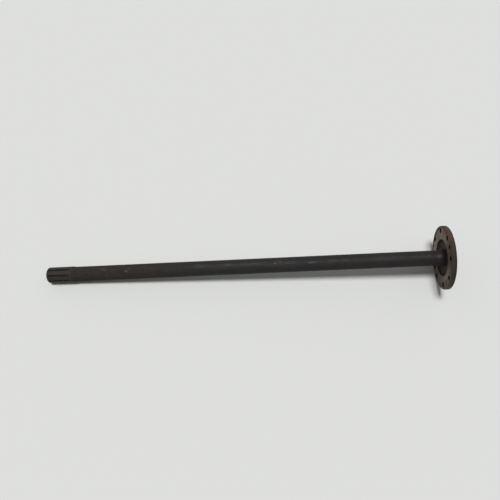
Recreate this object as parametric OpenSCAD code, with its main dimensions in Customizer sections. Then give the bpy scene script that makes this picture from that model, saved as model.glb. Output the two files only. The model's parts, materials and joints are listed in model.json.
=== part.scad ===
// Axle shaft of a light truck with a full-floating rear axle.
// One steel forging: a plain round shaft with a bolt flange at one end and a splined end at the other.
// It stands on the outer face of its flange: the shaft's axis is +Z and the origin is the face's centre.
// Lengths are in millimetres and angles in degrees.

/* [Shaft] */
// Overall length, from the outer face of the flange to the splined tip
overall_l = 1035; // [500:1:1400]
// Diameter of the plain shaft
shaft_d = 39; // [34:0.5:40]

/* [Flange] */
// Thickness of the flange at its bolt circle
flange_t = 11.5; // [8:0.1:20]
// Chamfer between the rim and the seat ring
rim_chamfer = 1; // [0.3:0.1:2]
// Chamfer between the rim and the outer face
outer_chamfer = 1; // [0.5:0.1:4]
// Inner diameter of the machined ring that seats on the wheel hub
seat_d = 94; // [75:0.5:105]
// Depth of the forged relief inside the machined ring
relief_depth = 2; // [1:0.1:4]
// Radius of the root fillet between the shaft and the relief
root_fillet = 9; // [4:0.5:14]

/* [Bolt holes] */
// Number of bolt holes
bolt_count = 8; // [6:2:10]
// Diameter of the circle on which all flange holes lie
bolt_circle_d = 137; // [120:0.5:200]
// Distance from that circle to the rim of the flange
edge_distance = 12; // [9:0.5:20]
// Diameter of a bolt hole
bolt_hole_d = 11; // [8:0.1:13]
// Core diameter of the two tapped jacking holes
jack_hole_d = 8.5; // [6:0.1:10]
// Chamfer at both mouths of a bolt hole
bolt_chamfer = 0.6; // [0.2:0.1:1]
// Chamfer at both mouths of a jacking hole
jack_chamfer = 1.2; // [0.4:0.1:1.4]

/* [Splined end] */
// Number of spline teeth
spline_teeth = 8; // [6:1:10]
// Diameter over the spline teeth
spline_d = 41.3; // [40:0.1:46]
// Width of a tooth between its parallel flanks
tooth_w = 9.6; // [6:0.1:10.5]
// Depth of a groove below the top of the teeth
groove_depth = 3; // [2:0.1:4]
// Length of the grooves at full depth
groove_l = 45; // [30:1:90]
// Radius of the disc cutter that leaves the run-out of each groove
cutter_r = 73; // [40:1:110]
// Length of raised land left between the end of the run-out and the cone down to the shaft
land_margin = 2.3; // [0.5:0.1:20]
// Length of the cone from the land down to the shaft
cone_l = 8; // [2:0.5:20]
// Angle of one groove's middle, seen from the tip
groove_angle = 17.5; // [0:0.5:45]
// Chamfer at the tip
tip_chamfer = 3; // [1:0.1:3.2]

/* [Lathe centres] */
// Pilot diameter of the lathe centre in the flange
flange_centre_d = 6.3; // [3:0.1:8]
// Pilot diameter of the lathe centre in the tip
tip_centre_d = 5; // [3:0.1:7]

/* [Hidden] */
$fn = 96;

shaft_r = shaft_d / 2;
bolt_circle_r = bolt_circle_d / 2;
flange_r = bolt_circle_r + edge_distance;
seat_r = seat_d / 2;
spline_r = spline_d / 2;
groove_floor_r = spline_r - groove_depth;

// The first bolt hole lies half a pitch from +X, and the jacking holes lie midway between two bolts.
bolt_pitch = 360 / bolt_count;
jack_angle = 135;
jack_count = 2;

// Heights where the grooves leave full depth, where the cutter has lifted out, and where the land ends.
full_depth_z = overall_l - groove_l;
run_out_z = full_depth_z - sqrt(cutter_r ^ 2 - (cutter_r - groove_depth) ^ 2);
land_z = run_out_z - land_margin;

// Tools are cut this far past the faces that they open.
past = 1;

// A lathe centre has a 60 degree cone, about twice as wide as its pilot, and a blind pilot hole.
centre_cone_angle = 30;
centre_cone_ratio = 2.1;
centre_depth_ratio = 1.6;

colour_steel = [0.24, 0.21, 0.19];

// Half of the outline of the forging, in the plane of radius and height, before the holes and grooves.
// The relief's wall and the chamfers slope at 45 degrees.
module outline() {
    relief_z = flange_t - relief_depth;
    polygon([
        [0, 0],
        [flange_r - outer_chamfer, 0],
        [flange_r, outer_chamfer],
        [flange_r, flange_t - rim_chamfer],
        [flange_r - rim_chamfer, flange_t],
        [seat_r, flange_t],
        [seat_r - relief_depth, relief_z],
        [shaft_r, relief_z],
        [shaft_r, land_z - cone_l],
        [spline_r, land_z],
        [spline_r, overall_l - tip_chamfer],
        [spline_r - tip_chamfer, overall_l],
        [0, overall_l],
    ]);
    root_fillet_outline(relief_z);
}

module root_fillet_outline(relief_z) {
    translate([shaft_r, relief_z])
        difference() {
            square(root_fillet);
            translate([root_fillet, root_fillet])
                circle(root_fillet);
        }
}

// A through hole in the flange, with a 45 degree chamfer at each mouth.
module flange_hole(hole_d, chamfer) {
    translate([0, 0, -past])
        cylinder(d = hole_d, h = flange_t + 2 * past);
    for (side = [0, 1])
        translate([0, 0, side * flange_t])
            mirror([0, 0, side])
                translate([0, 0, -past])
                    cylinder(r1 = hole_d / 2 + chamfer + past, r2 = hole_d / 2, h = chamfer + past);
}

module flange_holes() {
    for (i = [0 : bolt_count - 1])
        rotate(bolt_pitch * (i + 0.5))
            translate([bolt_circle_r, 0, 0])
                flange_hole(bolt_hole_d, bolt_chamfer);
    for (i = [0 : jack_count - 1])
        rotate(jack_angle + i * 360 / jack_count)
            translate([bolt_circle_r, 0, 0])
                flange_hole(jack_hole_d, jack_chamfer);
}

// Section of one groove, with x along the radius. Its flanks are parallel to the teeth on both sides.
function flank_y(x) = x * tan(180 / spline_teeth) - tooth_w / 2 / cos(180 / spline_teeth);

module groove_section(floor_x, top_x) {
    polygon([
        [floor_x, -flank_y(floor_x)],
        [top_x, -flank_y(top_x)],
        [top_x, flank_y(top_x)],
        [floor_x, flank_y(floor_x)],
    ]);
}

// The full-depth length is straight, and a disc cutter then lifts out of the groove along its own radius.
module groove() {
    top_r = spline_r + past;
    cutter_axis_x = groove_floor_r + cutter_r;
    run_out_angle = acos((cutter_axis_x - top_r) / cutter_r);
    translate([0, 0, full_depth_z])
        linear_extrude(groove_l + past)
            groove_section(groove_floor_r, top_r);
    translate([cutter_axis_x, 0, full_depth_z])
        rotate([90, 0, 0])
            rotate([0, 0, 180])
                rotate_extrude(angle = run_out_angle)
                    translate([cutter_axis_x, 0])
                        mirror([1, 0])
                            groove_section(groove_floor_r, top_r);
}

module spline_grooves() {
    for (i = [0 : spline_teeth - 1])
        rotate(groove_angle + i * 360 / spline_teeth)
            groove();
}

// A lathe centre that opens at the origin and goes up from there.
module lathe_centre(pilot_d) {
    cone_r = pilot_d / 2 * centre_cone_ratio;
    mouth_l = (cone_r - pilot_d / 2) / tan(centre_cone_angle);
    mouth_r = cone_r + past * tan(centre_cone_angle);
    cylinder(d = pilot_d, h = pilot_d * centre_depth_ratio + mouth_l);
    translate([0, 0, -past])
        cylinder(r1 = mouth_r, r2 = pilot_d / 2, h = mouth_l + past);
}

module axle_shaft() {
    color(colour_steel)
        difference() {
            rotate_extrude()
                outline();
            flange_holes();
            spline_grooves();
            lathe_centre(flange_centre_d);
            translate([0, 0, overall_l])
                mirror([0, 0, 1])
                    lathe_centre(tip_centre_d);
        }
}

axle_shaft();
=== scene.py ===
"""The looks of an axle shaft: one dark steel forging with a rusted bolt flange and a worn splined end.

The forging is one closed mesh of vertex loops, from the splined tip down to the outer face of the flange.
Sizes are in millimetres until the mesh is made, which is in metres. Angles and azimuths are in degrees.
"""

import json
import math

import bpy
from mathutils import Matrix, Vector, noise


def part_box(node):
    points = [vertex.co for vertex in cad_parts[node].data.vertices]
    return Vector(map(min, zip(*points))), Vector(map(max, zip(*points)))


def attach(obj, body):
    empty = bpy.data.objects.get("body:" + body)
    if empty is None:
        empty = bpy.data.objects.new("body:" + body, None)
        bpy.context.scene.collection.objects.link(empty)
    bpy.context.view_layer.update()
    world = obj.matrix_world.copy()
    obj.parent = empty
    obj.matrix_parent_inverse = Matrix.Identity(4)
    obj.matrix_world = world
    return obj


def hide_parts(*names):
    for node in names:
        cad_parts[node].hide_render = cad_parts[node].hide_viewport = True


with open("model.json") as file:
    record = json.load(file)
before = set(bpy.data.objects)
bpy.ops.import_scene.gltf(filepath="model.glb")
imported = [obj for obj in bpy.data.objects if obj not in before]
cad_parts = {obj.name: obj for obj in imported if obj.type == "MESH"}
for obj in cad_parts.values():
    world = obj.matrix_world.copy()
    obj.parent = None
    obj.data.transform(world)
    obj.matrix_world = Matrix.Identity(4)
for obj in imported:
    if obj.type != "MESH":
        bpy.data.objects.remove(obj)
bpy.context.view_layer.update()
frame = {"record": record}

MM = 0.001

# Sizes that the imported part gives
mounts = {mount["name"]: mount for mount in frame["record"]["mounts"]}
part_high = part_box("axle_shaft")[1]
OVERALL_L = part_high.z / MM
FLANGE_R = part_high.x / MM
FLANGE_T = mounts["hub_seat"]["pos_m"][2] / MM
BOLT_CIRCLE_R = mounts["flange_bolts"]["dims"]["pcd_mm"] / 2
BOLT_COUNT = mounts["flange_bolts"]["dims"]["count"]
BOLT_HOLE_R = mounts["flange_bolts"]["dims"]["hole_r_mm"]
JACK_HOLE_R = mounts["jacking_holes"]["dims"]["hole_r_mm"]

# Other sizes of the part
SHAFT_R = 19.5
RIM_CHAMFER = 1.0
OUTER_CHAMFER = 1.0
SEAT_R = 47.0
RELIEF_DEPTH = 2.0
ROOT_FILLET = 9.0
BOLT_CHAMFER = 0.6
JACK_CHAMFER = 1.2
JACK_ANGLES = (135, 315)
SPLINE_TEETH = 8
SPLINE_R = 20.65
TOOTH_W = 9.6
GROOVE_DEPTH = 3.0
GROOVE_L = 45.0
GROOVE_ANGLE = 17.5
CUTTER_R = 73.0
LAND_MARGIN = 2.3
CONE_L = 8.0
TIP_CHAMFER = 3.0
FLANGE_CENTRE_R = 3.15
TIP_CENTRE_R = 2.5
CENTRE_CONE_ANGLE = 30
CENTRE_CONE_RATIO = 2.1
CENTRE_DEPTH_RATIO = 1.6

# Sizes that follow from these
RELIEF_Z = FLANGE_T - RELIEF_DEPTH
RELIEF_CORNER_R = SEAT_R - RELIEF_DEPTH
ROOT_Z = RELIEF_Z + ROOT_FILLET
HALF_PITCH = 180 / SPLINE_TEETH
FULL_DEPTH_Z = OVERALL_L - GROOVE_L
RUN_OUT_Z = FULL_DEPTH_Z - math.sqrt(CUTTER_R**2 - (CUTTER_R - GROOVE_DEPTH) ** 2)
LAND_Z = RUN_OUT_Z - LAND_MARGIN
CONE_Z = LAND_Z - CONE_L

# The thread in the jacking holes
THREAD_PITCH = 1.5
THREAD_DEPTH = 0.75

# Vertices round the shaft: sixteen sectors of the flange, or eight teeth, share them evenly
COLUMNS = 160
SECTORS = 16
SECTOR_COLUMNS = COLUMNS // SECTORS
TOOTH_COLUMNS = COLUMNS // SPLINE_TEETH

# Lengths of a row of faces along the shaft, the teeth and their run-outs
SHAFT_ROW = 3.0
SPLINE_ROW = 2.0
RUN_OUT_ROW = 1.0

# Rows of faces on shorter stretches, and to each pitch of the thread
CHAMFER_ROWS = 3
MARGIN_ROWS = 2
CONE_ROWS = 4
ROOT_ROWS = 9
RELIEF_ROWS = 6
RING_ROWS = 8
FACE_ROWS = 5
BOLT_WALL_ROWS = 3
THREAD_ROWS = 10

# Finishes, in the order of the mesh's material slots
SCALE, RELIEF, SEAT, RIM, SPLINE, HOLE = range(6)


class Shell:
    """Vertices and faces of one closed mesh, built from loops of vertices."""

    def __init__(self):
        self.points = []
        self.faces = []
        self.finishes = []

    def loop(self, points):
        """Adds vertices and returns their numbers."""
        start = len(self.points)
        self.points.extend(points)
        return list(range(start, len(self.points)))

    def face(self, corners, finish):
        self.faces.append(corners)
        self.finishes.append(finish)

    def skin(self, upper, lower, finish):
        """Joins two closed loops that run anticlockwise seen from above. The faces turn outward, and upward
        where the second loop is the wider."""
        for i in range(len(upper)):
            j = (i + 1) % len(upper)
            self.face((upper[i], lower[i], lower[j], upper[j]), finish)

    def stack(self, loops, finish):
        for upper, lower in zip(loops, loops[1:]):
            self.skin(upper, lower, finish)

    def cap(self, loop, finish, facing_up):
        self.face(tuple(loop) if facing_up else tuple(reversed(loop)), finish)


def polar(radius, degrees, height):
    angle = math.radians(degrees)
    return (radius * math.cos(angle), radius * math.sin(angle), height)


def smooth_step(x):
    x = min(max(x, 0.0), 1.0)
    return x * x * (3 - 2 * x)


def spread(first, last, count):
    """Values after first, up to and with last, in equal steps."""
    return [first + (last - first) * (i + 1) / count for i in range(count)]


# Columns are even round the shaft and flange, and gather at the edges of the teeth along the spline
EVEN_ANGLES = [360 * i / COLUMNS - 180 / SECTORS for i in range(COLUMNS)]
# Below the spline the columns even out over this length
EVENING_L = 60.0
# Rounding of the tooth edges: a share of the flank, and an angle on the land and the floor
EDGE_SHARE = 0.08
EDGE_ANGLE = 0.7
# Places of the columns on half of a groove's floor and half of a tooth's land
FLOOR_SHARES = (0, 0.45, 0.8, 1)
LAND_SHARES = (0, 0.15, 0.4, 0.7, 1)
# A ray along a tooth's middle is parallel to the flanks, and meets none where its gap is less than this
LEAST_GAP = 1e-6


def lift_at(z):
    """How far the cutter has lifted out of a groove at this height, at most the groove's depth."""
    if z <= RUN_OUT_Z:
        return GROOVE_DEPTH
    along = max(FULL_DEPTH_Z - z, 0.0)
    return CUTTER_R - math.sqrt(CUTTER_R**2 - along**2)


def groove_edges(lift):
    """Angles of the floor's edge and of the tooth's edge from the groove's middle."""
    half = math.radians(HALF_PITCH)
    floor_x = SPLINE_R - GROOVE_DEPTH
    floor_y = floor_x * math.tan(half) - TOOTH_W / 2 / math.cos(half)
    floor_edge = math.degrees(math.atan2(floor_y, floor_x + lift))
    reach = TOOTH_W / 2 + lift * math.sin(half)
    tooth_edge = HALF_PITCH - math.degrees(math.asin(reach / SPLINE_R))
    return floor_edge, max(tooth_edge, floor_edge)


def tooth_angles(lift):
    """Half of one pitch as column angles, from the groove's middle to the tooth's middle."""
    floor_edge, tooth_edge = groove_edges(lift)
    flank = tooth_edge - floor_edge
    floor = floor_edge - EDGE_ANGLE
    land = tooth_edge + EDGE_ANGLE
    angles = [share * floor for share in FLOOR_SHARES]
    angles += [floor_edge + EDGE_SHARE * flank, tooth_edge - EDGE_SHARE * flank]
    return angles + [land + share * (HALF_PITCH - land) for share in LAND_SHARES]


def section_radius(degrees, lift):
    """Radius of the splined section at an angle from a groove's middle."""
    angle = math.radians(abs(degrees))
    half = math.radians(HALF_PITCH)
    floor = (SPLINE_R - GROOVE_DEPTH + lift) / math.cos(angle)
    gap = math.cos(angle) * math.tan(half) - math.sin(angle)
    if gap < LEAST_GAP:
        return SPLINE_R
    flank = (TOOTH_W / 2 / math.cos(half) + lift * math.tan(half)) / gap
    return min(SPLINE_R, max(floor, flank))


# The shares of a forged surface's full unevenness that the shaft and the spline have
SHAFT_ROUGHNESS = 1.0
SPLINE_ROUGHNESS = 0.5
# The waves of that unevenness, each with its length and height, and its pits, from noise at another place
WAVES = ((55, 0.10), (14, 0.05), (4.5, 0.03))
PIT_SIZE = 3.0
PIT_DEPTH = 0.30
PIT_THRESHOLD = 0.35
PIT_SHIFT = Vector((40, 0, 0))


def unevenness(x, y, z, roughness):
    """A forged or worn surface's departure from true, along its normal."""
    point = Vector((x, y, z))
    waves = sum(height * noise.noise(point / size) for size, height in WAVES)
    pit = max(noise.noise(point / PIT_SIZE + PIT_SHIFT) - PIT_THRESHOLD, 0.0)
    return roughness * (waves - PIT_DEPTH * pit)


def turned_loop(shell, radius, z, roughness=0.0):
    """A round loop of even columns."""
    points = []
    for degrees in EVEN_ANGLES:
        x, y, _ = polar(radius, degrees, z)
        points.append(polar(radius + unevenness(x, y, z, roughness), degrees, z))
    return shell.loop(points)


def spline_loop(shell, z, limit_r, roughness):
    """A loop of the splined section, cut back to limit_r by a chamfer or a cone."""
    lift = lift_at(z)
    half = tooth_angles(lift)
    evenness = smooth_step((LAND_Z - z) / EVENING_L)
    points = []
    for column in range(COLUMNS):
        tooth, place = divmod(column, TOOTH_COLUMNS)
        place -= TOOTH_COLUMNS // 2
        from_middle = math.copysign(half[abs(place)], place)
        gathered = GROOVE_ANGLE + 2 * HALF_PITCH * tooth + from_middle
        degrees = gathered + (EVEN_ANGLES[column] - gathered) * evenness
        radius = min(section_radius(from_middle, lift), limit_r)
        x, y, _ = polar(radius, degrees, z)
        points.append(polar(radius + unevenness(x, y, z, roughness), degrees, z))
    return shell.loop(points)


# The blind end of a lathe centre narrows to a flat: its radius and the drop to it, per radius of the pilot
CENTRE_END_RATIO = 0.5
CENTRE_DROP_RATIO = 0.3
# The mouth of a lathe centre is eased from this far inside its edge, and this deep
CENTRE_EASE_IN = 0.3
CENTRE_EASE_DEEP = 0.4


def add_lathe_centre(shell, pilot_r, mouth_z, inward):
    """Loops of a lathe centre from its blind end to its mouth. It goes up in the flange (inward is 1)
    and down in the tip (inward is -1)."""
    cone_r = pilot_r * CENTRE_CONE_RATIO
    mouth_l = (cone_r - pilot_r) / math.tan(math.radians(CENTRE_CONE_ANGLE))
    depth = 2 * pilot_r * CENTRE_DEPTH_RATIO + mouth_l
    profile = [
        (pilot_r * CENTRE_END_RATIO, depth),
        (pilot_r, depth - pilot_r * CENTRE_DROP_RATIO),
        (pilot_r, mouth_l),
        (cone_r - CENTRE_EASE_IN, CENTRE_EASE_DEEP),
        (cone_r, 0.0),
    ]
    return [turned_loop(shell, radius, mouth_z + inward * deep) for radius, deep in profile]


def add_splined_end(shell):
    """Tip face, chamfer, teeth and run-outs. Returns the lowest loop."""
    centre = add_lathe_centre(shell, TIP_CENTRE_R, OVERALL_L, -1)
    shell.cap(centre[0], HOLE, facing_up=True)
    shell.stack(centre, HOLE)
    face_r = SPLINE_R - TIP_CHAMFER
    middle_r = (TIP_CENTRE_R * CENTRE_CONE_RATIO + face_r) / 2
    loops = [centre[-1], turned_loop(shell, middle_r, OVERALL_L)]
    loops.append(spline_loop(shell, OVERALL_L, face_r, 0.0))
    for drop in spread(0, TIP_CHAMFER, CHAMFER_ROWS):
        loops.append(spline_loop(shell, OVERALL_L - drop, face_r + drop, 0.0))
    heights = spread(OVERALL_L - TIP_CHAMFER, FULL_DEPTH_Z, round((GROOVE_L - TIP_CHAMFER) / SPLINE_ROW))
    heights += spread(FULL_DEPTH_Z, RUN_OUT_Z, round((FULL_DEPTH_Z - RUN_OUT_Z) / RUN_OUT_ROW))
    heights += spread(RUN_OUT_Z, LAND_Z, MARGIN_ROWS)
    for z in heights:
        loops.append(spline_loop(shell, z, SPLINE_R, SPLINE_ROUGHNESS))
    shell.stack(loops, SPLINE)
    return loops[-1]


def add_shaft(shell, top):
    """The cone below the spline and the plain shaft, down to its root fillet. Returns the lowest loop."""
    loops = [top]
    for share in spread(0, 1, CONE_ROWS):
        radius = SPLINE_R + (SHAFT_R - SPLINE_R) * share
        loops.append(spline_loop(shell, LAND_Z - CONE_L * share, radius, SPLINE_ROUGHNESS))
    for z in spread(CONE_Z, ROOT_Z, round((CONE_Z - ROOT_Z) / SHAFT_ROW)):
        if z > LAND_Z - EVENING_L:
            loops.append(spline_loop(shell, z, SHAFT_R, SHAFT_ROUGHNESS))
        else:
            loops.append(turned_loop(shell, SHAFT_R, z, SHAFT_ROUGHNESS))
    shell.stack(loops, SCALE)
    return loops[-1]


def rough_flat_loop(shell, radius, z):
    """A round loop on a flat forged face, uneven in height."""
    points = []
    for degrees in EVEN_ANGLES:
        x, y, _ = polar(radius, degrees, z)
        points.append((x, y, z + unevenness(x, y, z, SHAFT_ROUGHNESS)))
    return shell.loop(points)


# How many rows of the root fillet have the shaft's finish and not the relief's
SCALED_ROOT_ROWS = 4
# Width of the last row of the relief, and the loops on its wall as shares of the wall's height
CORNER_ROW = 1.0
WALL_SHARES = (0.0, 0.5, 0.85)


def add_root(shell, top):
    """Root fillet, relief and the relief's wall up to the seat. Returns the seat's inner loop."""
    loops = [top]
    for degrees in spread(0, 90, ROOT_ROWS):
        angle = math.radians(degrees)
        radius = SHAFT_R + ROOT_FILLET * (1 - math.cos(angle))
        z = RELIEF_Z + ROOT_FILLET * (1 - math.sin(angle))
        loops.append(turned_loop(shell, radius, z, SHAFT_ROUGHNESS * math.cos(angle)))
    for radius in spread(SHAFT_R + ROOT_FILLET, RELIEF_CORNER_R - CORNER_ROW, RELIEF_ROWS):
        loops.append(rough_flat_loop(shell, radius, RELIEF_Z))
    for share in WALL_SHARES:
        rise = RELIEF_DEPTH * share
        loops.append(turned_loop(shell, RELIEF_CORNER_R + rise, RELIEF_Z + rise))
    seat_edge = turned_loop(shell, SEAT_R, FLANGE_T)
    shell.stack(loops[: SCALED_ROOT_ROWS + 1], SCALE)
    shell.stack(loops[SCALED_ROOT_ROWS:], RELIEF)
    shell.skin(loops[-1], seat_edge, SEAT)
    return seat_edge


# The sectors that have a hole
BOLT_SECTORS = [round((i + 0.5) * SECTORS / BOLT_COUNT) for i in range(BOLT_COUNT)]
JACK_SECTORS = [round(degrees * SECTORS / 360) for degrees in JACK_ANGLES]
# Rings of faces round each hole, and how much they gather at its mouth, where 1 is evenly spaced
HOLE_RINGS = 5
RING_GATHERING = 1.5


def hole_centre(sector):
    return polar(BOLT_CIRCLE_R, 360 * sector / SECTORS, 0)


def hole_sizes(sector):
    """Radius and chamfer of the sector's hole."""
    return (JACK_HOLE_R, JACK_CHAMFER) if sector in JACK_SECTORS else (BOLT_HOLE_R, BOLT_CHAMFER)


def add_ring(shell, inner, outer, z, finish, facing_up):
    """A flat ring between two loops, with an open round hole in each sector that has one.
    Returns the mouth loops of the holes by sector."""
    inner_r, outer_r = (math.hypot(*shell.points[loop[0]][:2]) for loop in (inner, outer))
    between = spread(inner_r, outer_r, RING_ROWS)[:-1]
    sides = []
    for sector in range(SECTORS):
        degrees = EVEN_ANGLES[sector * SECTOR_COLUMNS]
        sides.append(shell.loop([polar(radius, degrees, z) for radius in between]))
    mouths = {}
    for sector in range(SECTORS):
        columns = [(sector * SECTOR_COLUMNS + i) % COLUMNS for i in range(SECTOR_COLUMNS + 1)]
        before, after = sides[sector], sides[(sector + 1) % SECTORS]
        low_edge = [inner[column] for column in columns]
        high_edge = [outer[column] for column in columns]
        if sector in BOLT_SECTORS or sector in JACK_SECTORS:
            border = high_edge + after[::-1] + low_edge[::-1] + before
            mouths[sector] = add_hole_rings(shell, border, sector, z, finish, facing_up)
        else:
            add_plain_sector(shell, low_edge, high_edge, before, after, finish, facing_up)
    return mouths


def add_hole_rings(shell, border, sector, z, finish, facing_up):
    """Rings of vertices that pass from a sector's border to the mouth of its hole."""
    mouth_r = sum(hole_sizes(sector))
    centre_x, centre_y, _ = hole_centre(sector)
    rings = [border]
    for ring in range(1, HOLE_RINGS + 1):
        share = 1 - (1 - ring / HOLE_RINGS) ** RING_GATHERING
        points = []
        for vertex in border:
            x, y, _ = shell.points[vertex]
            angle = math.atan2(y - centre_y, x - centre_x)
            mouth_x = centre_x + mouth_r * math.cos(angle)
            mouth_y = centre_y + mouth_r * math.sin(angle)
            points.append((x + (mouth_x - x) * share, y + (mouth_y - y) * share, z))
        rings.append(shell.loop(points))
    shell.stack(rings[::-1] if facing_up else rings, finish)
    return rings[-1]


def add_plain_sector(shell, low_edge, high_edge, before, after, finish, facing_up):
    """A sector of the ring with no hole, in rows from its inner to its outer edge."""
    rows = [low_edge]
    for row, (first, last) in enumerate(zip(before, after)):
        share = (row + 1) / RING_ROWS
        middle = []
        for low, high in zip(low_edge[1:-1], high_edge[1:-1]):
            start, end = Vector(shell.points[low]), Vector(shell.points[high])
            middle.append(tuple(start + (end - start) * share))
        rows.append([first] + shell.loop(middle) + [last])
    rows.append(high_edge)
    for near, far in zip(rows, rows[1:]):
        for i in range(len(near) - 1):
            corners = (near[i], far[i], far[i + 1], near[i + 1])
            shell.face(corners if facing_up else corners[::-1], finish)


def add_hole_wall(shell, sector, top, bottom):
    """The chamfers and wall of a bolt hole, or of a tapped jacking hole, between its two mouths."""
    tapped = sector in JACK_SECTORS
    hole_r, chamfer = hole_sizes(sector)
    centre_x, centre_y, _ = hole_centre(sector)
    angles = []
    for vertex in top:
        x, y, _ = shell.points[vertex]
        angles.append(math.atan2(y - centre_y, x - centre_x))
    wall_top, wall_bottom = FLANGE_T - chamfer, chamfer
    rows = round((wall_top - wall_bottom) / THREAD_PITCH * THREAD_ROWS) if tapped else BOLT_WALL_ROWS
    loops = [top]
    for z in [wall_top] + spread(wall_top, wall_bottom, rows):
        fade = smooth_step(min(wall_top - z, z - wall_bottom) / THREAD_PITCH) if tapped else 0.0
        points = []
        for angle in angles:
            turn = (z / THREAD_PITCH - angle / (2 * math.pi)) % 1.0
            radius = hole_r + fade * THREAD_DEPTH * (1 - abs(2 * turn - 1))
            points.append((centre_x + radius * math.cos(angle), centre_y + radius * math.sin(angle), z))
        loops.append(shell.loop(points))
    # Reversed loops turn the wall's faces inward
    shell.stack([loop[::-1] for loop in loops + [bottom]], HOLE)


# The rim's edges are rounded by this much, and it has two loops between them, at shares of its height
RIM_EDGE = 0.3
RIM_SHARES = (0.6, 0.4)


def rim_profile():
    """Radius and height down the rim, with both chamfers' edges rounded a little."""
    upper = [
        (FLANGE_R - RIM_CHAMFER, FLANGE_T),
        (FLANGE_R - RIM_EDGE, FLANGE_T - RIM_CHAMFER + RIM_EDGE),
        (FLANGE_R, FLANGE_T - RIM_CHAMFER - RIM_EDGE),
    ]
    lower = [
        (FLANGE_R, OUTER_CHAMFER + RIM_EDGE),
        (FLANGE_R - RIM_EDGE, OUTER_CHAMFER - RIM_EDGE),
        (FLANGE_R - OUTER_CHAMFER + RIM_EDGE, RIM_EDGE),
        (FLANGE_R - OUTER_CHAMFER - RIM_EDGE, 0.0),
    ]
    return upper + [(FLANGE_R, FLANGE_T * share) for share in RIM_SHARES] + lower


def add_flange(shell, seat_edge):
    """Seat ring, rim, outer face and holes."""
    rim = [turned_loop(shell, radius, z) for radius, z in rim_profile()]
    tops = add_ring(shell, seat_edge, rim[0], FLANGE_T, SEAT, facing_up=True)
    shell.stack(rim, RIM)
    face_edge = turned_loop(shell, SEAT_R, 0.0)
    bottoms = add_ring(shell, face_edge, rim[-1], 0.0, RIM, facing_up=False)
    for sector, top in tops.items():
        add_hole_wall(shell, sector, top, bottoms[sector])
    centre = add_lathe_centre(shell, FLANGE_CENTRE_R, 0.0, 1)[::-1]
    face = [face_edge]
    for radius in spread(SEAT_R, FLANGE_CENTRE_R * CENTRE_CONE_RATIO, FACE_ROWS)[:-1]:
        face.append(turned_loop(shell, radius, 0.0))
    shell.stack(face + [centre[0]], RIM)
    shell.stack(centre, HOLE)
    shell.cap(centre[-1], HOLE, facing_up=False)


# Edges between faces that turn by more than this stay sharp
SHARP_ANGLE = 32


def add_object(name, data):
    """A new object in the scene, which holds a mesh, a lamp or a camera."""
    piece = bpy.data.objects.new(name, data)
    bpy.context.scene.collection.objects.link(piece)
    return piece


def make_forging(finishes):
    """The one piece of the shaft, with its finishes in the order of the material slots."""
    shell = Shell()
    spline_foot = add_splined_end(shell)
    shaft_foot = add_shaft(shell, spline_foot)
    seat_edge = add_root(shell, shaft_foot)
    add_flange(shell, seat_edge)
    mesh = bpy.data.meshes.new("forging")
    mesh.from_pydata([tuple(MM * value for value in point) for point in shell.points], [], shell.faces)
    for material in finishes:
        mesh.materials.append(material)
    mesh.polygons.foreach_set("material_index", shell.finishes)
    mesh.polygons.foreach_set("use_smooth", [True] * len(mesh.polygons))
    mesh.set_sharp_from_angle(angle=math.radians(SHARP_ANGLE))
    mesh.update()
    return add_object("forging", mesh)


class ShaderNodes:
    """The shader nodes of a material or a world, added one by one."""

    def __init__(self, owner):
        owner.use_nodes = True
        self.nodes = owner.node_tree.nodes
        self.links = owner.node_tree.links

    def add(self, kind, inputs, **settings):
        """Adds a node. Each of its inputs is a value, or another node's output to link to."""
        node = self.nodes.new(kind)
        for name, value in settings.items():
            setattr(node, name, value)
        for socket, value in inputs.items():
            if isinstance(value, bpy.types.NodeSocket):
                self.links.new(value, node.inputs[socket])
            else:
                node.inputs[socket].default_value = value
        return node

    def math(self, operation, first, second=0.0, third=0.0):
        node = self.add("ShaderNodeMath", {0: first, 1: second, 2: third}, operation=operation)
        return node.outputs[0]

    def plus(self, first, second):
        return self.math("ADD", first, second)

    def minus(self, first, second):
        return self.math("SUBTRACT", first, second)

    def times(self, first, second):
        return self.math("MULTIPLY", first, second)

    def most(self, first, second):
        return self.math("MAXIMUM", first, second)

    def vector(self, operation, first, second):
        node = self.add("ShaderNodeVectorMath", {0: first, 1: second}, operation=operation)
        return node.outputs["Value" if operation == "DOT_PRODUCT" else "Vector"]

    def show_either(self, output, factor, first, second):
        """Shows the first shader where the factor is 0, and the second where it is 1."""
        mixed = self.add("ShaderNodeMixShader", {"Fac": factor, 1: first.outputs[0], 2: second.outputs[0]})
        self.add(output, {"Surface": mixed.outputs[0]})


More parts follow.
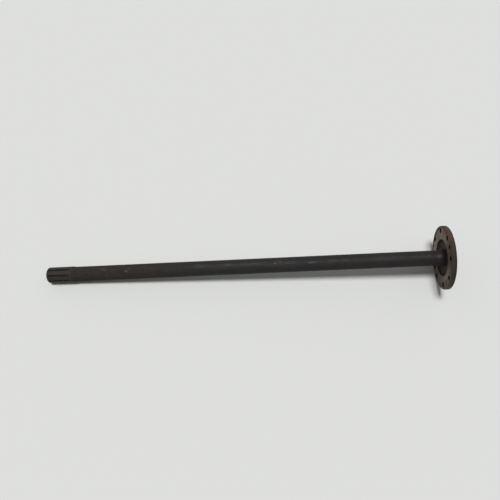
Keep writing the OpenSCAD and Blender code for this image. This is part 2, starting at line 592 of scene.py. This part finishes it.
class Finish(ShaderNodes):
    """A material whose nodes read the object's own coordinates, in millimetres."""

    # Noise lies mostly between these values, of which a narrower pair gives harder patches
    WIDE = (0.2, 0.8)
    MIDDLE = (0.25, 0.75)
    NARROW = (0.3, 0.7)
    # Places of the factor, the two colours and the result among the sockets of a mix
    FACTOR, FIRST, SECOND, RESULT = 0, 6, 7, 2

    def __init__(self, name, shine):
        self.material = bpy.data.materials.new(name)
        super().__init__(self.material)
        self.shader = self.nodes["Principled BSDF"]
        self.shader.inputs["Specular IOR Level"].default_value = shine
        coordinates = self.add("ShaderNodeTexCoord", {}).outputs["Object"]
        self.place = self.scaled(coordinates, 1 / MM)
        axes = self.add("ShaderNodeSeparateXYZ", {0: self.place}).outputs
        self.x, self.y, self.z = axes["X"], axes["Y"], axes["Z"]
        self.radius = self.hypotenuse(self.x, self.y)

    def hypotenuse(self, first, second):
        return self.math("SQRT", self.plus(self.times(first, first), self.times(second, second)))

    def scaled(self, vector, factor):
        """A vector or a colour times a number."""
        node = self.add("ShaderNodeVectorMath", {0: vector, "Scale": factor}, operation="SCALE")
        return node.outputs["Vector"]

    def length(self, vector):
        return self.add("ShaderNodeVectorMath", {0: vector}, operation="LENGTH").outputs["Value"]

    def noise(self, size, detail=4.0, roughness=0.55, shift=0.0, stretch=(1, 1, 1)):
        """Noise from 0 to 1 whose patches are about this size, drawn out along the axes by stretch."""
        squeeze = tuple(1 / (size * length) for length in stretch)
        place = self.vector("MULTIPLY", self.vector("ADD", self.place, (shift, shift, shift)), squeeze)
        inputs = {"Vector": place, "Scale": 1.0, "Detail": detail, "Roughness": roughness}
        return self.add("ShaderNodeTexNoise", inputs).outputs["Fac"]

    def ramp(self, value, start, end, low=0.0, high=1.0):
        """A smooth climb from low to high as a value goes from start to end."""
        inputs = {"Value": value, "From Min": start, "From Max": end, "To Min": low, "To Max": high}
        return self.add("ShaderNodeMapRange", inputs, interpolation_type="SMOOTHSTEP").outputs["Result"]

    def between(self, value, low, high):
        """From low to high as noise rises."""
        return self.ramp(value, *self.WIDE, low, high)

    def vary(self, value, amount):
        """A factor about 1 that follows noise up and down by this amount."""
        return self.ramp(value, *self.MIDDLE, 1 - amount, 1 + amount)

    def wander(self, value, reach):
        """A shift about 0 that follows noise up and down by this reach."""
        return self.ramp(value, *self.NARROW, -reach, reach)

    def blend(self, first, second, share):
        """The sum of two values, of which the first has this share."""
        return self.plus(self.times(first, share), self.times(second, 1 - share))

    def mix(self, factor, first, second):
        """Mixes two colours, each a triple or another mix."""
        inputs = {self.FACTOR: factor}
        for socket, colour in ((self.FIRST, first), (self.SECOND, second)):
            inputs[socket] = colour if isinstance(colour, bpy.types.NodeSocket) else (*colour, 1)
        return self.add("ShaderNodeMix", inputs, data_type="RGBA").outputs[self.RESULT]

    def towards(self, degrees):
        """From -1 to 1: how far a place faces this azimuth, seen from the axis."""
        along = self.vector("DOT_PRODUCT", self.place, polar(1, degrees, 0))
        return self.math("DIVIDE", along, self.radius)

    def side(self, side, low=0.0, high=1.0, shift=0.0):
        """From low to high on one side of the axis. A side is an azimuth, and how far a place must face it
        for the side to begin and to be full."""
        azimuth, begins, full = side
        return self.ramp(self.plus(self.towards(azimuth), shift), begins, full, low, high)

    def from_spoke(self, first, count):
        """Angle from the nearest of a number of even spokes, of which one lies at the first angle."""
        azimuth = self.times(self.math("ARCTAN2", self.y, self.x), 180 / math.pi)
        return self.math("PINGPONG", self.minus(azimuth, first), 180 / count)

    def finish(self, colour, roughness, height, relief):
        """Sets colour and roughness, and a bump whose height of 0 to 1 stands for this relief."""
        self.links.new(colour, self.shader.inputs["Base Color"])
        self.links.new(roughness, self.shader.inputs["Roughness"])
        bump = self.add("ShaderNodeBump", {"Strength": 1.0, "Distance": relief * MM, "Height": height})
        self.links.new(bump.outputs["Normal"], self.shader.inputs["Normal"])
        return self.material


# Colours are linear. What the finishes call a side is described in Finish.side
SCALE_BLACK = (0.0212, 0.0208, 0.0209)
SCALE_BROWN = (0.0325, 0.0268, 0.0238)
SCALE_PLUM = (0.0198, 0.0172, 0.0180)
BARE_STEEL = (0.103, 0.100, 0.100)
# Heights where the scale turns brown towards the spline, and takes a plum tint towards the flange
BROWN_FROM, BROWN_TO = 560, 880
PLUM_FROM, PLUM_TO = 440, 240
# Heights where the scale dulls on its way into the root fillet
DULL_FROM, DULL_TO = 24, 13
# Pale patches on the shaft, all on its side towards azimuths -32 to -59: small bright scuffs and long faint
# haze. Each has a height, azimuth, half length, half width, and bareness before ragged gaps thin it
SCUFFS = (
    (886, -32, 8, 2.5, 0.5),
    (879, -43, 4, 2.0, 0.7),
    (820, -59, 3.5, 3.0, 1.7),
    (812, -40, 6, 4.0, 0.3),
    (622, -44, 22, 6.0, 0.30),
    (552, -46, 16, 5.0, 0.30),
    (498, -47, 45, 4.0, 0.26),
    (432, -51, 3, 2.5, 0.95),
    (420, -40, 9, 5.0, 0.35),
    (392, -50, 20, 4.0, 0.25),
    (337, -57, 14, 3.0, 0.6),
    (335, -57, 5, 2.0, 0.85),
    (285, -48, 12, 4.0, 0.3),
    (255, -48, 12, 4.0, 0.2),
    (152, -50, 48, 6.0, 0.14),
    (60, -49, 34, 4.0, 0.22),
    (22, -53, 9, 5.0, 0.5),
)
# A scuff fades between these shares of its half sizes
SCUFF_HEART, SCUFF_EDGE = 0.2, 1.3
# A faint ring worn round the shaft: height, half width and bareness
WORN_RING = (873, 3.0, 0.16)


def scuff_mask(coat):
    """How bare the scuffs and the worn ring are, with ragged gaps."""
    ragged = coat.noise(3.5, detail=5, roughness=0.7, shift=9, stretch=(1, 1, 2.5))
    ring_z, ring_half, ring_bareness = WORN_RING
    from_ring = coat.math("ABSOLUTE", coat.minus(coat.z, ring_z))
    mask = coat.ramp(from_ring, ring_half, 0.0, 0.0, ring_bareness)
    for height, azimuth, half_length, half_width, bareness in SCUFFS:
        offset = coat.vector("SUBTRACT", coat.place, polar(SHAFT_R, azimuth, height))
        squeezed = coat.vector("DIVIDE", offset, (half_width, half_width, half_length))
        near = coat.ramp(coat.length(squeezed), SCUFF_EDGE, SCUFF_HEART, 0.0, bareness)
        mask = coat.most(mask, near)
    return coat.times(mask, coat.ramp(ragged, 0.38, 0.62, 0.25, 1.0))


def forging_scale():
    """Black mill scale on the shaft: browner and duller near the spline, plum near the flange, scuffed."""
    coat = Finish("forging_scale", shine=0.12)
    cloud = coat.noise(48, detail=3)
    mottle = coat.noise(8, detail=5, roughness=0.6, shift=20)
    speck = coat.noise(1.7, detail=3, shift=50)
    drawn = coat.noise(4, detail=4, shift=70, stretch=(1, 1, 22))
    colour = coat.mix(coat.ramp(coat.z, PLUM_FROM, PLUM_TO), SCALE_BLACK, SCALE_PLUM)
    browned = coat.ramp(coat.z, BROWN_FROM, BROWN_TO, 0.0, 0.7)
    browned = coat.plus(browned, coat.ramp(cloud, 0.42, 0.66, 0.0, 0.3))
    colour = coat.mix(browned, colour, SCALE_BROWN)
    tone = coat.times(coat.times(coat.vary(mottle, 0.20), coat.vary(speck, 0.16)), coat.vary(drawn, 0.12))
    colour = coat.mix(scuff_mask(coat), coat.scaled(colour, tone), BARE_STEEL)
    roughness = coat.ramp(coat.z, BROWN_FROM, BROWN_TO, 0.60, 0.88)
    roughness = coat.plus(roughness, coat.between(mottle, -0.08, 0.08))
    roughness = coat.most(roughness, coat.ramp(coat.z, DULL_FROM, DULL_TO, 0.5, 0.95))
    return coat.finish(colour, roughness, coat.blend(mottle, speck, 0.6), relief=0.35)


RELIEF_BROWN = (0.063, 0.054, 0.0505)
RELIEF_GREY = (0.068, 0.063, 0.060)
RELIEF_PALE = (0.100, 0.084, 0.071)
# Dark brown for both grime and painted shade on the relief
GRIME_AND_SHADE_BROWN = (0.0155, 0.0120, 0.0105)
# These sides of the relief are darker, most on the first, which is wider near the shaft. On the first the
# darkening is painted shade under the seat ring's near edge, over grime
FIRST_DARK_SIDE = (-62, 0.70, 0.93)
FIRST_DARK_WIDENING = 0.35
FIRST_DARK_INNER_R, FIRST_DARK_OUTER_R = 24, 34
SECOND_DARK_SIDE = (112, -0.1, 0.6)
THIRD_DARK_SIDE = (180, 0.55, 0.95)
# Painted shade, over grime, darkens the relief's corner, and at the fillet's foot the finish runs into the
# shaft's
CORNER_FROM_R, CORNER_TO_R = RELIEF_CORNER_R - 7, RELIEF_CORNER_R - 1
FOOT_FROM_R, FOOT_TO_R = SHAFT_R + 6, SHAFT_R + 1
# Paler patches: azimuth, radius, half width and colour; the heart of a patch is a share of its half width
RELIEF_PATCHES = ((242, 38, 14, RELIEF_GREY), (-8, 36, 13, RELIEF_PALE))
PATCH_HEART = 0.3


def relief_grime_and_shade():
    """Dull brown grime over the forged relief and the foot of the root fillet, with painted shade in its
    corner and on one side.
    """
    coat = Finish("relief_grime_and_shade", shine=0.03)
    mottle = coat.noise(8, detail=5, roughness=0.6, shift=20)
    speck = coat.noise(1.7, detail=3, shift=50)
    colour = coat.mix(coat.ramp(mottle, 0.5, 0.75, 0.0, 0.4), RELIEF_BROWN, RELIEF_GREY)
    widening = coat.ramp(coat.radius, FIRST_DARK_OUTER_R, FIRST_DARK_INNER_R, 0.0, FIRST_DARK_WIDENING)
    # Painted shade under the seat ring's near edge, over grime
    colour = coat.mix(coat.side(FIRST_DARK_SIDE, high=0.95, shift=widening), colour, GRIME_AND_SHADE_BROWN)
    # Darker towards azimuths 112 and 180
    colour = coat.mix(coat.side(SECOND_DARK_SIDE, high=0.45), colour, GRIME_AND_SHADE_BROWN)
    colour = coat.mix(coat.side(THIRD_DARK_SIDE, high=0.35), colour, GRIME_AND_SHADE_BROWN)
    for azimuth, radius, half_width, patch_colour in RELIEF_PATCHES:
        offset = coat.vector("SUBTRACT", coat.place, polar(radius, azimuth, RELIEF_Z))
        near = coat.ramp(coat.length(offset), half_width, half_width * PATCH_HEART, 0.0, 0.8)
        colour = coat.mix(near, colour, patch_colour)
    uneven = coat.plus(coat.radius, coat.wander(mottle, 2.0))
    # Painted shade in the relief's corner, over grime
    colour = coat.mix(coat.ramp(uneven, CORNER_FROM_R, CORNER_TO_R, 0.0, 0.9), colour, GRIME_AND_SHADE_BROWN)
    colour = coat.mix(coat.ramp(uneven, FOOT_FROM_R, FOOT_TO_R, 0.0, 0.9), colour, SCALE_BLACK)
    colour = coat.scaled(colour, coat.times(coat.vary(mottle, 0.20), coat.vary(speck, 0.16)))
    return coat.finish(colour, coat.between(mottle, 0.75, 0.95), coat.blend(mottle, speck, 0.6), relief=0.35)


MACHINED_GREY = (0.280, 0.250, 0.208)
MACHINED_BROWN = (0.275, 0.228, 0.182)
PALE_RUST = (0.215, 0.175, 0.140)
RED_RUST = (0.142, 0.072, 0.046)
DARK_RUST = (0.136, 0.104, 0.078)
EDGE_RUST = (0.060, 0.046, 0.037)
SEAT_DARK_TONE = (0.080, 0.066, 0.061)
# The seat is bright on its clean side, and on its rubbed side within the bolt circle
CLEAN_SIDE = (65, -0.3, 0.5)
RUBBED_SIDE = (236, 0.72, 1.0)
RUBBED_FROM_R, RUBBED_TO_R = BOLT_CIRCLE_R - 2, BOLT_CIRCLE_R - 10
# The seat is darker towards azimuth 152
SEAT_DARKER_SIDE = (152, 0.66, 1.0)
# Its bare metal is browner outside, and rust outside the bolt circle covers one side, red in its middle
BROWNED_FROM_R, BROWNED_TO_R = SEAT_R + 10, BOLT_CIRCLE_R
RUSTY_SIDE = (-46, 0.40, 0.75)
RED_SIDE = (-20, 0.75, 0.97)
RUSTY_FROM_R, RUSTY_TO_R = BOLT_CIRCLE_R - 6, BOLT_CIRCLE_R + 3
DIRTY_SIDE = (-66, 0.78, 0.98)
# Dark rust along its outer edge reaches further in on one side
EDGE_SIDE = (85, -0.3, 0.2)
EDGE_FROM_R, EDGE_TO_R = FLANGE_R - 6.5, FLANGE_R - 2
DEEP_EDGE_SIDE = (85, 0.3, 1.0)
DEEP_EDGE_REACH = 6.0
# Stains round the bolt holes, as distances from a hole's middle
STAIN_FROM_R, STAIN_TO_R = BOLT_HOLE_R + 3.0, BOLT_HOLE_R + 0.8
# Distance between the rings that the lathe left
RING_PITCH = 1.1


def lathe_marks(coat):
    """Fine rings about the axis, from 0 to 1."""
    wave = coat.math("SINE", coat.times(coat.radius, 2 * math.pi / RING_PITCH))
    return coat.math("MULTIPLY_ADD", wave, 0.5, 0.5)


def hole_distance(coat):
    """Distance from the middle of the nearest bolt hole."""
    angle = coat.times(coat.from_spoke(180 / BOLT_COUNT, BOLT_COUNT), math.pi / 180)
    along = coat.minus(coat.times(coat.radius, coat.math("COSINE", angle)), BOLT_CIRCLE_R)
    across = coat.times(coat.radius, coat.math("SINE", angle))
    return coat.hypotenuse(along, across)


def seat_ring():
    """A machined seat: bare grey on one side, with rust and dirt outside the bolt circle on the other."""
    coat = Finish("seat_ring", shine=0.05)
    patch = coat.noise(13, detail=5, roughness=0.6, shift=5)
    mottle = coat.noise(4.2, detail=5, roughness=0.65, shift=33)
    blotch = coat.noise(4.5, detail=4, shift=88)
    speck = coat.noise(1.3, detail=3, shift=61)
    marks = lathe_marks(coat)
    machined = coat.mix(coat.ramp(coat.radius, BROWNED_FROM_R, BROWNED_TO_R), MACHINED_GREY, MACHINED_BROWN)
    colour = coat.mix(coat.ramp(patch, 0.40, 0.62), machined, PALE_RUST)
    drift = coat.wander(patch, 0.2)
    rubbed = coat.side(RUBBED_SIDE, high=0.7, shift=drift)
    rubbed = coat.times(rubbed, coat.ramp(coat.radius, RUBBED_FROM_R, RUBBED_TO_R))
    bright = coat.most(coat.side(CLEAN_SIDE, shift=drift), rubbed)
    colour = coat.scaled(colour, coat.ramp(bright, 0.0, 1.0, 0.55, 1.0))
    colour = coat.mix(coat.side(SEAT_DARKER_SIDE, high=0.85, shift=drift), colour, SEAT_DARK_TONE)
    outside = coat.ramp(coat.plus(coat.radius, coat.wander(patch, 4.0)), RUSTY_FROM_R, RUSTY_TO_R)
    rust = coat.mix(coat.side(RED_SIDE, shift=coat.wander(mottle, 0.12)), DARK_RUST, RED_RUST)
    colour = coat.mix(coat.times(outside, coat.side(RUSTY_SIDE, high=0.92)), colour, rust)
    colour = coat.scaled(colour, coat.side(DIRTY_SIDE, low=1.0, high=0.65, shift=coat.wander(mottle, 0.08)))
    colour = coat.mix(coat.ramp(mottle, 0.58, 0.70, 0.0, 0.4), colour, EDGE_RUST)
    frayed = coat.plus(coat.radius, coat.wander(mottle, 1.5))
    frayed = coat.plus(frayed, coat.side(DEEP_EDGE_SIDE, high=DEEP_EDGE_REACH))
    edge = coat.times(coat.ramp(frayed, EDGE_FROM_R, EDGE_TO_R), coat.side(EDGE_SIDE, low=0.2, high=0.95))
    colour = coat.mix(edge, colour, EDGE_RUST)
    colour = coat.mix(coat.ramp(hole_distance(coat), STAIN_FROM_R, STAIN_TO_R, 0.0, 0.6), colour, EDGE_RUST)
    tone = coat.times(coat.vary(speck, 0.25), coat.ramp(marks, 0.0, 1.0, 0.95, 1.05))
    tone = coat.times(tone, coat.plus(coat.wander(blotch, 0.40), 1.0))
    colour = coat.scaled(colour, tone)
    return coat.finish(colour, coat.between(mottle, 0.62, 0.9), coat.blend(mottle, marks, 0.8), relief=0.30)


RIM_BROWN = (0.066, 0.051, 0.042)
RIM_RED = (0.094, 0.053, 0.039)
RIM_DARK = (0.022, 0.0215, 0.0235)
RIM_GREY = (0.108, 0.097, 0.090)
# Sides of the rim: red with rust, dulled by soot, and struck bare
RED_RIM_SIDE = (-20, 0.35, 1.1)
SOOTY_SIDE = (-71, 0.68, 0.90)
STRUCK_SIDE = (208, 0.86, 0.97)
# Radii between which the outer face ends and the rim begins
RIM_FROM_R, RIM_TO_R = FLANGE_R - 3.0, FLANGE_R - 1.5
# Heights where the dark band along the outer edge ends and is full, and a side where it is wider
BAND_FROM_Z, BAND_TO_Z = 3.6, 2.2
WIDE_BAND_SIDE = (-110, 0.4, 0.8)
BAND_WIDENING = 1.6


def rim_rust():
    """Rust on the rim, with a dark band along its outer edge, and patchy scale on the rusty outer face."""
    coat = Finish("rim_rust", shine=0.10)
    patch = coat.noise(16, detail=5, roughness=0.6, shift=14)
    cloud = coat.noise(26, detail=6, roughness=0.65, shift=57)
    mottle = coat.noise(4, detail=5, roughness=0.65, shift=44)
    speck = coat.noise(1.3, detail=3, shift=81)
    on_rim = coat.ramp(coat.radius, RIM_FROM_R, RIM_TO_R)
    colour = coat.mix(coat.side(RED_RIM_SIDE, shift=coat.wander(patch, 0.4)), RIM_BROWN, RIM_RED)
    sooty = coat.times(coat.side(SOOTY_SIDE), on_rim)
    colour = coat.scaled(colour, coat.ramp(sooty, 0.0, 1.0, 1.0, 0.62))
    height = coat.plus(coat.z, coat.wander(patch, 0.8))
    height = coat.minus(height, coat.side(WIDE_BAND_SIDE, high=BAND_WIDENING))
    scaly = coat.ramp(coat.plus(cloud, coat.wander(mottle, 0.06)), 0.44, 0.58)
    dark = coat.times(coat.ramp(height, BAND_FROM_Z, BAND_TO_Z, 0.0, 0.9), coat.most(on_rim, scaly))
    colour = coat.mix(dark, colour, RIM_DARK)
    colour = coat.mix(coat.ramp(mottle, 0.58, 0.70, 0.0, 0.6), colour, RIM_DARK)
    colour = coat.mix(coat.times(coat.side(STRUCK_SIDE, high=0.9), on_rim), colour, RIM_GREY)
    colour = coat.scaled(colour, coat.vary(speck, 0.25))
    return coat.finish(colour, coat.between(mottle, 0.6, 0.88), mottle, relief=0.30)


LAND_STEEL = (0.0340, 0.0298, 0.0272)
LAND_BROWN = (0.0320, 0.0252, 0.0220)
WORN_EDGE = (0.085, 0.079, 0.074)
GRIME = (0.0140, 0.0128, 0.0122)
# Bluish painted shade on the chamfered tip
TIP_PAINTED_SHADE = (0.0130, 0.0150, 0.0190)
# Worn stripes on the lands: their angle from a tooth's edge, and their half width
STRIPE_ANGLE = 1.0
STRIPE_HALF = 1.6
# Radii where grime begins and is full, and heights between which it is thinner towards the run-outs
GRIME_FROM_R, GRIME_TO_R = SPLINE_R - 0.15, SPLINE_R - 1.4
GRIME_FROM_Z, GRIME_TO_Z = FULL_DEPTH_Z - 8, FULL_DEPTH_Z + 4
# Heights where the painted shade on the tip begins and is full
TIP_FROM_Z, TIP_TO_Z = OVERALL_L - TIP_CHAMFER - 2.0, OVERALL_L - TIP_CHAMFER


def spline_steel():
    """Spline teeth with worn edges over grimy grooves, and bluish painted shade on the chamfered tip."""
    coat = Finish("spline_steel", shine=0.12)
    mottle = coat.noise(6, detail=5, roughness=0.6, shift=27)
    speck = coat.noise(1.4, detail=3, shift=91)
    drawn = coat.noise(2.2, detail=4, shift=17, stretch=(1, 1, 14))
    colour = coat.mix(coat.ramp(mottle, 0.36, 0.62), LAND_STEEL, LAND_BROWN)
    stripe = groove_edges(0)[1] + STRIPE_ANGLE
    from_stripe = coat.math("ABSOLUTE", coat.minus(coat.from_spoke(GROOVE_ANGLE, SPLINE_TEETH), stripe))
    worn = coat.times(coat.ramp(from_stripe, STRIPE_HALF, 0.0), coat.ramp(coat.z, RUN_OUT_Z, FULL_DEPTH_Z))
    worn = coat.times(worn, coat.ramp(drawn, 0.35, 0.65, 0.15, 0.7))
    colour = coat.mix(worn, colour, WORN_EDGE)
    grime = coat.ramp(coat.plus(coat.radius, coat.wander(mottle, 0.25)), GRIME_FROM_R, GRIME_TO_R)
    grime = coat.times(grime, coat.ramp(coat.z, GRIME_FROM_Z, GRIME_TO_Z, 0.8, 1.0))
    colour = coat.mix(grime, colour, GRIME)
    # Painted shade on the chamfered tip
    colour = coat.mix(coat.ramp(coat.z, TIP_FROM_Z, TIP_TO_Z), colour, TIP_PAINTED_SHADE)
    colour = coat.scaled(colour, coat.times(coat.vary(speck, 0.20), coat.vary(drawn, 0.12)))
    return coat.finish(colour, coat.between(drawn, 0.45, 0.68), coat.blend(mottle, drawn, 0.6), relief=0.15)


# Near-black colours for the holes: oily brown, darkened as painted shade inside them
HOLE_BROWN = (0.018, 0.009, 0.004)
HOLE_SHADE_BLACK = (0.009, 0.006, 0.004)


def hole_wall():
    """Oily brown walls of the holes and lathe centres, darkened almost to black as painted shade inside
    them.
    """
    coat = Finish("hole_wall", shine=0.03)
    mottle = coat.noise(3, detail=5, shift=12)
    colour = coat.mix(coat.ramp(mottle, 0.35, 0.65), HOLE_BROWN, HOLE_SHADE_BLACK)
    return coat.finish(colour, coat.between(mottle, 0.5, 0.8), mottle, relief=0.1)


finishes = [forging_scale(), relief_grime_and_shade(), seat_ring(), rim_rust(), spline_steel(), hole_wall()]
forging = make_forging(finishes)
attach(forging, "root")
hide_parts("axle_shaft")


# The camera: where it stands, in metres, and its ways ahead and up, which show the upright shaft lying
CAMERA_AT = Vector((0.5375, -1.1773, 0.4045))
CAMERA_AHEAD = Vector((-0.3844, 0.9205, 0.0702)).normalized()
CAMERA_UP = Vector((0.9205, 0.3880, -0.0469))
SENSOR_W = 36.0
LENS = 36.0


def turn_towards(ahead, up):
    """The rotation of a camera that looks ahead."""
    right = ahead.cross(up).normalized()
    return Matrix((right, right.cross(ahead), -ahead)).transposed().to_4x4()


def add_camera():
    data = bpy.data.cameras.new("camera")
    data.sensor_width = SENSOR_W
    data.lens = LENS
    camera = add_object("camera", data)
    camera.matrix_world = Matrix.Translation(CAMERA_AT) @ turn_towards(CAMERA_AHEAD, CAMERA_UP)
    bpy.context.scene.camera = camera


# The shaft lies on a pale sheet, which touches the flange's rim at this azimuth. The spline sinks into it
SHEET_AZIMUTH = 134.5
SHEET_SINK = 2.0
SHEET_DROP = FLANGE_R - SPLINE_R + SHEET_SINK
# How far the sheet leans from the shaft's axis, in radians, and the direction that it faces
SHEET_LEAN = math.atan2(SHEET_DROP, OVERALL_L - TIP_CHAMFER - OUTER_CHAMFER)
SHEET_FACING = -Vector(polar(math.cos(SHEET_LEAN), SHEET_AZIMUTH, math.sin(SHEET_LEAN)))
# Length of the sheet's sides, in metres
SHEET_SIZE = 14.0
SHEET_COLOUR = (0.705, 0.719, 0.709)


def add_sheet():
    """The sheet casts no shadow, so that light reaches the shaft's back."""
    touch = Vector(polar(FLANGE_R, SHEET_AZIMUTH, OUTER_CHAMFER)) * MM
    half = SHEET_SIZE / 2
    corners = [(-half, -half, 0), (half, -half, 0), (half, half, 0), (-half, half, 0)]
    mesh = bpy.data.meshes.new("sheet")
    mesh.from_pydata(corners, [], [(0, 1, 2, 3)])
    mesh.materials.append(sheet_material())
    sheet = add_object("sheet", mesh)
    turn = SHEET_FACING.to_track_quat("Z", "Y").to_matrix().to_4x4()
    sheet.matrix_world = Matrix.Translation(touch) @ turn
    sheet.visible_shadow = False


def sheet_material():
    """Plain pale cloth, which is clear from behind."""
    material = bpy.data.materials.new("sheet")
    shading = ShaderNodes(material)
    shading.nodes.clear()
    cloth = shading.add("ShaderNodeBsdfDiffuse", {"Color": (*SHEET_COLOUR, 1)})
    clear = shading.add("ShaderNodeBsdfTransparent", {})
    behind = shading.add("ShaderNodeNewGeometry", {}).outputs["Backfacing"]
    shading.show_either("ShaderNodeOutputMaterial", behind, cloth, clear)
    return material


# How wide a lamp looks from the shaft
LAMP_ANGLE = 15
# The main lamp stands nearly square to the sheet: it leans a little along the shaft, and up in the picture
LAMP_STRENGTH = 2.48
LAMP_LEAN = 1.5
LAMP_RAISE = 2.0
# The back lamp lights the side of the shaft that lies on the sheet
BACK_STRENGTH = 2.2
BACK_AZIMUTH = 112
BACK_RISE = -0.1
# Light from all round, stronger from the top of the picture by this share, and the background that is seen
WORLD_STRENGTH = 0.195
WORLD_LEAN = 0.9
WORLD_LIGHT = (1.03, 1.00, 0.965)
WORLD_SEEN = (0.70, 0.715, 0.705)


def add_lamp(name, strength, source):
    """A soft lamp far away, in the direction of its source."""
    data = bpy.data.lights.new(name, "SUN")
    data.energy = strength
    data.angle = math.radians(LAMP_ANGLE)
    lamp = add_object(name, data)
    lamp.rotation_mode = "QUATERNION"
    lamp.rotation_quaternion = (-source).to_track_quat("-Z", "Y")


def add_lamps():
    lean = Vector((0, 0, math.tan(math.radians(LAMP_LEAN))))
    rise = Vector(polar(math.tan(math.radians(LAMP_RAISE)), SHEET_AZIMUTH - 90, 0))
    add_lamp("lamp", LAMP_STRENGTH, SHEET_FACING + lean + rise)
    add_lamp("back_lamp", BACK_STRENGTH, Vector(polar(1, BACK_AZIMUTH, BACK_RISE)))


def add_world():
    """Soft light from all round, and a pale background for what the camera, gloss or glass sees directly."""
    world = bpy.data.worlds.new("world")
    bpy.context.scene.world = world
    shading = ShaderNodes(world)
    shading.nodes.clear()
    direction = shading.add("ShaderNodeTexCoord", {}).outputs["Generated"]
    upward = shading.vector("DOT_PRODUCT", direction, CAMERA_UP)
    strength = shading.math("MULTIPLY_ADD", upward, WORLD_STRENGTH * WORLD_LEAN, WORLD_STRENGTH)
    light = shading.add("ShaderNodeBackground", {"Color": (*WORLD_LIGHT, 1), "Strength": strength})
    seen = shading.add("ShaderNodeBackground", {"Color": (*WORLD_SEEN, 1)})
    path = shading.add("ShaderNodeLightPath", {}).outputs
    direct = shading.most(path["Is Camera Ray"], path["Is Glossy Ray"])
    direct = shading.most(direct, path["Is Transmission Ray"])
    shading.show_either("ShaderNodeOutputWorld", direct, light, seen)


add_camera()
add_sheet()
add_lamps()
add_world()
bpy.context.scene.view_settings.view_transform = "Standard"
